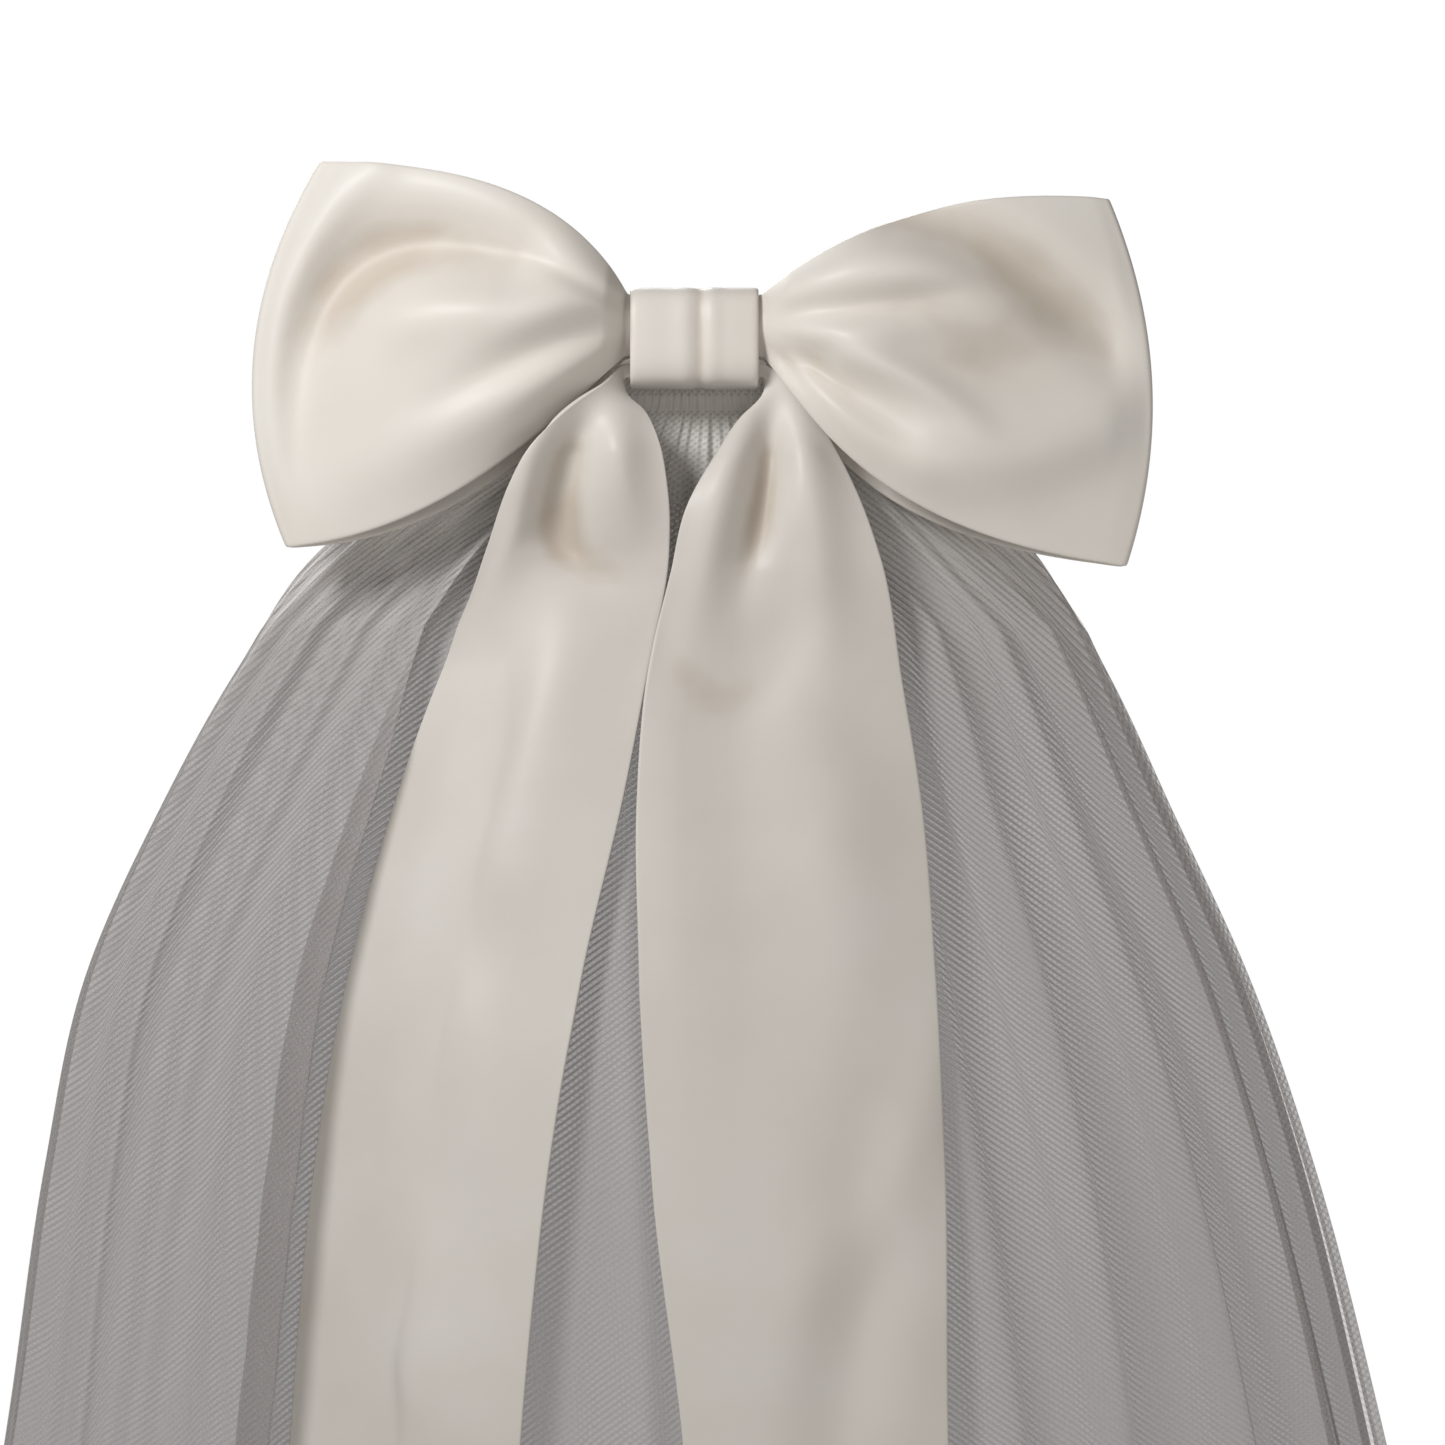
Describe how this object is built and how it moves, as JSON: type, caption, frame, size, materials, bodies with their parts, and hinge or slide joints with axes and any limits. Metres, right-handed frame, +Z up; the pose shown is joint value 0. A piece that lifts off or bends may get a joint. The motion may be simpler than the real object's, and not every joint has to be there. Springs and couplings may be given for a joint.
{
  "type": "bridal veil",
  "caption": "Short bridal veil in two layers of soft net, gathered on a hair comb under a flat satin bow with two long satin tails.",
  "frame": {"origin": "middle of the inner face of the comb's bar, where the comb lies on the hair", "axes": "+Z up, the comb's teeth point to -Z; the bow faces -Y, the side that is seen from behind the person; +X is to the right in that view"},
  "size_m": [0.4545, 0.1371, 0.656],
  "materials": {
    "net": "soft sheer net, off-white",
    "satin": "heavy ivory satin with a soft sheen",
    "comb": "clear"
  },
  "bodies": {
    "root": {"comb": "comb", "veil_lower_layer": "net", "veil_upper_layer": "net", "bow_knot": "satin", "bow_loop_left": "satin", "bow_loop_right": "satin", "tail_left": "satin", "tail_right": "satin"}
  },
  "joints": []
}
